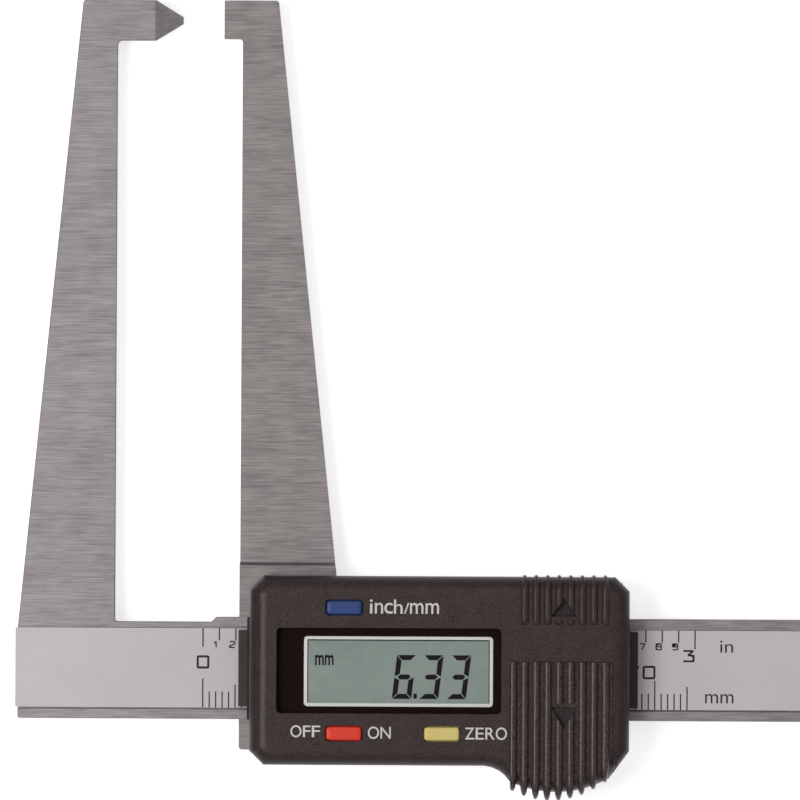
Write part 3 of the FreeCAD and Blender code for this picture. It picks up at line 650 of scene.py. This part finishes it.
def numeral(words, right_x, low_y, size, width, pitch=0.0):
    """Rings of all strokes of a number that ends at right_x."""
    rings = []
    for position, digit in enumerate(reversed(words)):
        corner = np.array([right_x - size[0] - position * pitch + width / 2, low_y + width / 2])
        for path in numeral_strokes[digit]:
            line = corner + np.array(path) * (np.array(size) - width)
            rings.append(upright(stroke(line, width), (label_top_z, label_top_z + ink)))
    return rings


numerals = numeral("0", 1.0, -0.12, (1.98, 2.07), 0.35)
for tenth in range(1, 30):
    if tenth % 10:
        numerals += numeral(str(tenth % 10), tenth * inch / 10 - 0.05, 3.08, (1.0, 1.1), 0.2)
for whole in (1, 2, 3):
    numerals += numeral(str(whole), whole * inch - 0.05, 1.25, (1.9, 1.9), 0.3)
for ten in range(1, 8):
    numerals += numeral(str(ten) + "0", ten * 10 + 0.1, -1.42, (2.0, 2.1), 0.34, pitch=2.5)
place(solid("scale_numbers", np.stack(numerals)), "main_beam", scale_ink)

# %% [markdown]
# ## The moulded cover
# The cover is one hollow moulding. Its outline runs straight, then flares out to the thumb rest.
# The same outline, carried round a quarter circle, gives the rounded front edge. Where two arcs
# meet, their steps are longer than the corner shrinks on its way inwards, so no ring crosses
# itself. Window, keys and door are cut out of that solid as a mould's cores leave them.

# %% Outline and body of the cover
cover_front_z = 12.4
cover_back_z = 4.55
edge_radius = 2.7
cover_outline = np.concatenate([
    [(9.45, -14.85)],
    arc_through((43.6, -14.85), (46.08, -15.7075), (47.6, -17.3), 5),
    arc_through((47.6, -17.3), (54.6, -18.85), (62.9, -16.7), 14),
    [(62.9, -16.7), (66.0, -12.5), (66.0, 12.2), (63.8, 14.4), (9.45, 14.4), (7.25, 12.2), (7.25, -12.65)],
])


def cover_blank(name, sunk=0.0):
    """The outer form without its hollows: the outline carried up the wall and over a quarter
    circle, where the distance inwards is r(1 - cos a) and the height r sin a. A sunk form has
    the same walls, and its front lies so much deeper."""
    angle = np.linspace(0.0, np.pi / 2, 13)
    fillet = np.column_stack([edge_radius * (1 - np.cos(angle)),
                              cover_front_z - sunk - edge_radius * (1 - np.sin(angle))])
    profile = np.concatenate([[(0.15, cover_back_z), (0.0, cover_back_z + 0.15)], fillet])
    blank = solid(name, rings_round(cover_outline, profile))
    slope = [(6.0, 10.9), (7.25, 10.9), (9.05, 12.4), (9.05, 13.5), (6.0, 13.5)]
    ring = np.array([(x, 0.0, z) for x, z in slope])
    cut(blank, np.stack([ring + (0.0, -17.0, 0.0), ring + (0.0, 17.0, 0.0)]))
    return blank


cover = cover_blank("moulded_cover")

# %% Chambers, window and openings
window_x = (11.4, 46.2)
window_y = (-6.855, 6.405)
lens_back_z = 10.3
above = 14.5
key_size = (5.4, 2.05)
key_gap = 0.23
key_radius = 0.45
key_places = {"unit_button": (21.85, 9.535), "power_button": (21.85, -9.905), "zero_button": (37.0, -9.905)}
door_x = (47.6, 63.4)
door_top_y = 1.24
door_back_z = 11.25
door_gap = 0.06
door_end_y = -24.0          # beyond the outer form
cap_y = -15.4               # inner face of the door's end cap
cap_low_z = 6.25
rail_back_z = 10.35
rail_out, rail_in = 0.6, 0.8

below = 4.0
chamber_x = (8.55, 48.3)
chamber_y = (-12.4, 13.1)
chambers = [
    block(chamber_x, chamber_y, (below, 9.3)),
    block(chamber_x, (7.405, chamber_y[1]), (9.0, 11.1)),
    block(chamber_x, (chamber_y[0], -7.855), (9.0, 11.1)),
]
openings = [
    upright(rounded_rectangle(window_x, window_y, 0.7), (lens_back_z, above)),
    block((15.59, 44.99), (-6.005, 5.165), (below, above)),
]
for x, y in key_places.values():
    half_x = key_size[0] / 2 + key_gap
    half_y = key_size[1] / 2 + key_gap
    openings.append(upright(rounded_rectangle((x - half_x, x + half_x), (y - half_y, y + half_y),
                                              key_radius + key_gap), (below, above)))


def door_blocks(gap):
    """The space of the door, each side larger by the gap: skin, end cap and two rails."""
    rails = [(door_x[0] - rail_out, door_x[0] + rail_in), (door_x[1] - rail_in, door_x[1] + rail_out)]
    top = door_top_y + gap
    blocks = [
        block((door_x[0] - gap, door_x[1] + gap), (door_end_y, top), (door_back_z - gap, above)),
        block((door_x[0] - gap, door_x[1] + gap), (door_end_y, cap_y + gap), (cap_low_z - gap, above)),
    ]
    rail_y, rail_z = (door_end_y, top - 0.8), (rail_back_z - gap, door_back_z + 0.1)
    blocks += [block((low - gap, high + gap), rail_y, rail_z) for low, high in rails]
    return blocks


cell_x, cell_y = 55.6, -8.0
well_radius = 6.0
well_floor_z = 5.55
turn = np.linspace(0.0, 2 * np.pi, 48, endpoint=False)
cell_well = np.column_stack([cell_x + well_radius * np.cos(turn), cell_y + well_radius * np.sin(turn)])
battery_space = [           # the well, then the slots of the two contacts
    upright(cell_well, (well_floor_z, above)),
    block((47.0, cell_x), (-8.2, -5.6), (well_floor_z, 6.35)),
    block((47.0, 57.7), (-2.45, -1.85), (well_floor_z, 9.25)),
]
cut(cover, *chambers, *openings, *door_blocks(door_gap), *battery_space)
combine(cover, solid("pad", block((6.85, 8.25), (-7.9, 7.9), (4.55, 6.55))), "UNION")
soften_edges(cover, 0.1, steps=1)
print("cover faces before the ribs:", len(cover.data.polygons))


# %% [markdown]
# ## The ribs of the thumb grip
# Each rib is a rounded ridge that runs over the front, round the edge and down the side, where it
# is a little narrower and stands out more. Its crest is a line with a quarter circle in it, and
# its section is an arch with steep sides, so one array holds all ribs of a field.

# %% Ribs
rib_height = 0.5
rib_bend = 2.4
rib_width = 1.35
narrower = 0.2              # share of the width that a rib loses round the edge
foot_depth = 1.0            # how deep its foot lies under the crest
foot_deeper = 0.9           # and how much deeper down the side
arch_power = 0.7            # below 1, the arch has a broad crest and steep sides


def ribs(x, start_y, tip_y, low_z, soft_start=0.0):
    """Crest: along Y at full height, a quarter circle by the angle a, then down to low_z.
    Section, for t from 0 to pi: across is w/2 cos t (1 - narrower sin a), and the depth under
    the crest is (1 + 0.9 sin a) (1 - sin^0.7 t). A soft start lifts the crest in an arc."""
    x, tip_y = np.broadcast_arrays(np.asarray(x, float), np.asarray(tip_y, float))
    toward = np.sign(tip_y[0] - start_y)
    top = cover_front_z + rib_height
    run = np.concatenate([np.linspace(0.0, 0.04, 7)[:-1], np.linspace(0.04, 1.0, 14)[:-1]])
    turn = np.concatenate([0 * run, np.linspace(0.0, np.pi / 2, 14), np.full(4, np.pi / 2)])
    down = np.concatenate([np.zeros(len(run) + 14), np.linspace(0.25, 1.0, 4)])
    run = np.concatenate([run, np.ones(18)])
    bend_y = tip_y[:, None] - toward * rib_bend
    crest_y = start_y + run * (bend_y - start_y) + toward * rib_bend * np.sin(turn)
    crest_z = top - rib_bend * (1 - np.cos(turn)) - down * (top - rib_bend - low_z)
    if soft_start:
        way = np.clip(np.abs(crest_y - start_y) / soft_start, 0.0, 1.0)
        crest_z = crest_z - rib_height * (1 - np.sqrt(1 - (1 - way) ** 2))
    arch = np.linspace(0.0, np.pi, 13)
    across = rib_width / 2 * np.cos(arch) * (1 - narrower * np.sin(turn))[:, None]
    depth = (foot_depth + foot_deeper * np.sin(turn))[:, None] * (1 - np.sin(arch).clip(0.0) ** arch_power)
    points = np.empty(crest_y.shape + (len(arch), 3))
    points[..., 0] = x[:, None, None] + across
    points[..., 1] = crest_y[..., None] - toward * np.sin(turn)[:, None] * depth
    points[..., 2] = np.broadcast_to(crest_z, crest_y.shape)[..., None] - np.cos(turn)[:, None] * depth
    return points


arrow_depth = 1.0
arrow_break = 0.6           # length of the gap in the ribs behind an arrow


def arrow(base_y, tip_y, sunk=0.001):
    """Rings of a sunk triangle, and of the short break that it makes in the ribs behind it."""
    middle_x, half = 55.85, 2.05
    corners = np.array([(middle_x - half, base_y), (middle_x + half, base_y), (middle_x, tip_y)])
    break_y = sorted((base_y, base_y + arrow_break * np.sign(base_y - tip_y)))
    return [upright(corners, (cover_front_z - arrow_depth, above)),
            block((middle_x - half, middle_x + half), break_y, (cover_front_z - sunk, above))]


rib_pitch = 1.783
upper_x = 49.758 + rib_pitch * np.arange(8)
combine(cover, solid("upper_ribs", ribs(upper_x, 7.0, 14.7, cover_back_z, soft_start=0.6)), "UNION")
cut(cover, *arrow(8.3, 11.1))
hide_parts("front_cover")
place(cover, "slider", cover_black)

# %% [markdown]
# ## The battery door
# The door is the piece of the same form that lies in its opening. Between its ribs it is sunk a
# little under the cover, so thumb and finger feel it. It slides off over the thumb rest on two
# rails. The same form trims their ends, so they close their slots, and a sunk arrow shows the way.

# %% Battery door
door_sunk = 0.25
door = cover_blank("ribbed_door", door_sunk)
aside = (-30.0, 30.0)
all_z = (0.0, 20.0)
under = [(aside[0], all_z[0]), (aside[1], all_z[0]), (aside[1], door_back_z),
         (cap_y, door_back_z), (cap_y, cap_low_z), (aside[0], cap_low_z)]
under_ring = np.array([(0.0, y, z) for y, z in under])
cut(door, block((0.0, door_x[0]), aside, all_z), block((door_x[1], 80.0), aside, all_z),
    block((40.0, 70.0), (door_top_y, aside[1]), all_z),
    np.stack([under_ring + (40.0, 0.0, 0.0), under_ring + (70.0, 0.0, 0.0)]))
rails = cover_blank("rails", door_sunk)
combine(rails, solid("rail_space", np.stack(door_blocks(0.0)[2:])), "INTERSECT")
combine(door, rails, "UNION")
print("door faces before the ribs:", len(door.data.polygons))
soften_edges(door, 0.08, steps=1)
lower_x = 47.975 + rib_pitch * np.arange(9)
lower_tip_y = -20.2 + 2.6 * ((lower_x - 53.9) / 7.9) ** 2
lower_ribs = solid("lower_ribs", ribs(lower_x, door_top_y, lower_tip_y, cap_low_z))
cut(lower_ribs, block((40.0, door_x[0]), aside, all_z))
combine(door, lower_ribs, "UNION")
cut(door, *arrow(-5.64, -9.14, door_sunk))
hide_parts("battery_door")
place(door, "battery_door", door_black)

# %% [markdown]
# ## Window and display
# A clear pane with a black printed border closes the recess. The display under it is a grey glass
# sandwich in a pale rim with rounded corners, and its digits are built from slanted bars. Each bar
# is a thin solid, since bars that are cut from one shape keep the even gaps of a real display.

# %% Pane and its printed border
lens_front_z = 11.5
border_thick = 0.04
pane_outline = rounded_rectangle((11.47, 46.13), (-6.785, 6.335), 0.63)
border = solid("pane_border", upright(pane_outline, (lens_back_z, lens_back_z + border_thick)))
cut(border, upright(rounded_rectangle((15.62, 44.96), (-5.82, 5.135), 0.6), (9.0, 12.0)))
place(border, "slider", mask_black)

rim_profile = [(0.0, 5.55), (0.0, 10.1), (0.04, 10.21), (0.15, 10.25)]
rim = solid("display_rim", rings_round(rounded_rectangle((15.64, 44.94), (-5.8, 5.115), 0.58), rim_profile))
cut(rim, upright(rounded_rectangle((16.19, 44.39), (-5.25, 4.6), 0.1), (5.0, 11.0)))
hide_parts("lcd_frame")
place(rim, "slider", rim_white)

clear_pane = bpy.data.materials.new("clear_pane")
clear_pane.use_nodes = True
pane_tree = clear_pane.node_tree
pane_tree.nodes.remove(pane_tree.nodes["Principled BSDF"])
pane_gloss = add_node(pane_tree, "ShaderNodeBsdfGlossy", {"Color": (1.0, 1.0, 1.0, 1.0)})
pane_rough = between(pane_tree, grain(pane_tree, (0.3, 0.3, 0.3)), 0.02, 0.06)
pane_tree.links.new(pane_rough, pane_gloss.inputs["Roughness"])
pane_clear = add_node(pane_tree, "ShaderNodeBsdfTransparent", {"Color": (0.96, 0.97, 0.97, 1.0)})
pane_share = add_node(pane_tree, "ShaderNodeLayerWeight", {"Blend": 0.05})
pane_mix = add_node(pane_tree, "ShaderNodeMixShader", {
    0: pane_share.outputs["Facing"], 1: pane_clear.outputs[0], 2: pane_gloss.outputs[0]})
pane_tree.links.new(pane_mix.outputs[0], pane_tree.nodes["Material Output"].inputs["Surface"])
pane_profile = [(0.0, lens_back_z + border_thick + 0.01), (0.0, lens_front_z - 0.12),
                (0.04, lens_front_z - 0.04), (0.12, lens_front_z)]
pane = solid("clear_pane", rings_round(pane_outline, pane_profile))
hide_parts("window_lens")
place(pane, "slider", clear_pane, crease=10.0)

# %% Digits of the display
display_z = 10.252
bar_thick = 0.02
bar_width = 0.78
bar_gap = 0.09
digit_size = (3.0, 6.78)
digit_lean = 0.119
digit_low_y = -4.55


def bar_shapes(size, t, g):
    """The seven bars of a digit, six points each, from its width, its height, the width t of
    a bar and the gap g. Outer edges are long and inner ones shorter by t, so the ends slope."""
    w, h = size
    top = np.array([(g, h), (w / 2, h), (w - g, h), (w - t - g, h - t), (w / 2, h - t), (t + g, h - t)])
    left = np.array([(0, h - g), (0, h * 0.75), (0, h / 2 + g),
                     (t, (h + t) / 2 + g), (t, h * 0.75), (t, h - t - g)])
    middle = np.array([(t / 2 + g, h / 2), (t + g, (h + t) / 2), (w - t - g, (h + t) / 2),
                       (w - t / 2 - g, h / 2), (w - t - g, (h - t) / 2), (t + g, (h - t) / 2)])
    over = np.array([1, -1]), np.array([0, h])
    across = np.array([-1, 1]), np.array([w, 0])
    right = left * across[0] + across[1]
    return {"top": top, "middle": middle, "bottom": top * over[0] + over[1],
            "left_high": left, "right_high": right,
            "left_low": left * over[0] + over[1], "right_low": right * over[0] + over[1]}


bars_lit = {
    6: ("top", "middle", "bottom", "left_high", "left_low", "right_low"),
    3: ("top", "middle", "bottom", "right_high", "right_low"),
}


def digit_bars(digit, left_x):
    """The lit bars of a digit as thin solids. Leaning moves each point along X by its height."""
    shapes = bar_shapes(digit_size, bar_width, bar_gap)
    ring = np.stack([shapes[bar] for bar in bars_lit[digit]])
    ring = ring + [left_x, digit_low_y] + np.stack([digit_lean * ring[..., 1], 0 * ring[..., 1]], axis=-1)
    faces = [np.dstack([ring, np.full(ring.shape[:2], z)]) for z in (display_z, display_z + bar_thick)]
    return np.stack(faces, axis=1)


reading = [(6, 29.27), (3, 33.45), (3, 37.72)]      # digit and its left edge
bars = np.concatenate([digit_bars(digit, left_x) for digit, left_x in reading])
place(solid("display_digits", bars), "slider", digit_ink)
point_outline = rounded_rectangle((32.62, 33.14), (-4.5, -3.72), 0.1)
place(solid("display_point", upright(point_outline, (display_z, display_z + bar_thick))),
      "slider", digit_ink)
unit_sign = lettering("unit_m", "mm", (17.4, 20.25), (0.6, 2.2), display_z, bar_thick, 0.02)
joined_lettering("display_unit", [unit_sign], "slider", digit_ink)

# %% [markdown]
# ## Keys
# Each key is moulded in its own colour: a cap with rounded edges and a slightly crowned top, a
# flange that keeps it in the cover and a stem over its snap dome. All of it is one stack of
# rounded rectangles, and only their half sizes, corner radius and height change.

# %% Three keys
def key_rings(x, y):
    """Rings from the foot of the stem to the crown. Over the rounded edge, the distance inwards
    is r(1 - cos a) and the height r sin a; the crown rises evenly to its middle."""
    half_x, half_y = key_size[0] / 2, key_size[1] / 2
    edge, top, crown = 0.3, 12.68, 0.07
    stem, flange, flange_z = 0.8, 0.75, (10.2, 11.05)
    angle = np.linspace(0.0, np.pi / 2, 6)
    inwards = edge * (1 - np.cos(angle))
    rows = [(stem, stem, 0.1, z) for z in (6.6, flange_z[0])]
    rows += [(half_x + flange, half_y + flange, 0.1, z) for z in flange_z]
    rows += [(half_x, half_y, key_radius, flange_z[1])]
    rows += [(half_x - d, half_y - d, key_radius - d * 0.9, top - edge + edge * math.sin(a))
             for d, a in zip(inwards, angle)]
    rows += [(half_x - edge - 0.25 * step, half_y - edge - 0.25 * step, 0.12, top + crown * step / 2)
             for step in (1, 2)]
    outlines = [rounded_rectangle((x - wide, x + wide), (y - deep, y + deep), radius)
                for wide, deep, radius, height in rows]
    heights = np.array(rows)[:, 3]
    return np.stack([np.column_stack([ring, np.full(len(ring), z)]) for ring, z in zip(outlines, heights)])


key_colours = {"unit_button": (key_blue, "blue"), "power_button": (key_red, "red"),
               "zero_button": (key_yellow, "yellow")}
for name, (x, y) in key_places.items():
    key = solid(name.replace("button", "key"), key_rings(x, y))
    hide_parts(name)
    place(key, name, key_colours[name][0])

# %% Printed words on the cover
words_z = cover_front_z
letter_places = {
    "OFF": ((-10.50, -8.72), ((13.64, 15.36), (15.58, 16.74), (16.95, 18.24))),
    "ON": ((-10.68, -8.86), ((25.60, 27.35), (27.56, 29.16))),
    "ZERO": ((-10.74, -8.90), ((40.60, 42.07), (42.26, 43.53), (43.77, 45.20), (45.37, 47.11))),
    "inch/mm": ((8.63, 10.31), ((25.82, 26.25), (26.59, 27.87), (28.06, 29.36), (29.54, 30.90),
                                (31.10, 31.90), (32.03, 34.10), (34.43, 36.51))),
}
ascender = 0.51             # how far i and h stand above the other small letters
overshoot = 0.06            # round capitals are this much taller at both ends
cover_letters = []
for word, ((low, high), ranges) in letter_places.items():
    for letter, x in zip(word, ranges):
        taller = overshoot if letter == "O" else 0.0
        top = high + taller + (ascender if letter in "ih" else 0.0)
        cover_letters.append(lettering("letter", letter, x, (low - taller, top), words_z, ink, 0.004))
joined_lettering("cover_words", cover_letters, "slider", print_grey)

# %% [markdown]
# ## Screws at the back
# Four cross-head screws hold the cover from behind, and two slotted ones hold the end stop. A
# turned part is a profile carried round a circle, and the recess is cut with a tapered tool.

# %% Cover screws
def turned(centres, profile, count=40):
    """A profile of (radius, height) carried round an upright axis at each centre."""
    angle = np.linspace(0.0, 2 * np.pi, count, endpoint=False)
    profile = np.asarray(profile, float)
    centres = np.asarray(centres, float)
    rings = np.empty((len(centres), len(profile), count, 3))
    rings[..., 0] = centres[:, 0, None, None] + profile[:, 0, None] * np.cos(angle)
    rings[..., 1] = centres[:, 1, None, None] + profile[:, 0, None] * np.sin(angle)
    rings[..., 2] = profile[:, 1, None]
    return rings


def cross_tool(centres, half_length, half_width, z):
    """A plus sign whose arms shrink to 0.6 from the first height to the second."""
    long, short = half_length, half_width
    plus = np.array([(long, -short), (long, short), (short, short), (short, long), (-short, long),
                     (-short, short), (-long, short), (-long, -short), (-short, -short),
                     (-short, -long), (short, -long), (short, -short)])
    rings = np.empty((len(centres), 2, len(plus), 3))
    rings[..., :2] = np.asarray(centres)[:, None, None] + plus * np.array([1.0, 0.6])[:, None, None]
    rings[..., 2] = np.array(z)[:, None]
    return rings


cover_screw_places = [(10.85, 11.18), (10.85, -10.28), (46.9, -10.28), (61.8, 11.18)]
head_profile = [(1.2, -1.65), (1.55, -1.58), (1.7, -1.4), (1.7, -0.55), (0.95, -0.55), (0.95, 8.95)]
cover_screws = solid("cross_screws", turned(cover_screw_places, head_profile))
cut(cover_screws, cross_tool(cover_screw_places, 0.95, 0.2, (-1.7, -0.85)))
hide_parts("cover_screws")
place(cover_screws, "slider", screw_steel)

# %% [markdown]
# ## Parts that keep their CAD shape
# Boards, contacts, the cell and the small fasteners have simple real shapes, so the CAD solids
# stay, and each gets the finish of its own material.

# %% Finishes on the CAD parts
cad_finishes = {
    "grating_strip": grating_copper,
    "scale_label": scale_silver,
    "end_stop": slider_steel,
    "end_stop_screws": screw_steel,
    "gib_screws": screw_steel,
    "lcd_glass": display_grey,
    "zebra_strips": rubber_grey,
    "sensor_board": board_black,
    "main_board": board_green,
    "controller_chip": resin_black,
    "button_domes": spring_steel,
    "battery": cell_steel,
    "contact_negative": spring_steel,
    "contact_positive": spring_steel,
}
for name, material in cad_finishes.items():
    slots = nodes[name].material_slots
    for slot in slots:
        slot.material = material
    print(name, "slots", len(slots))
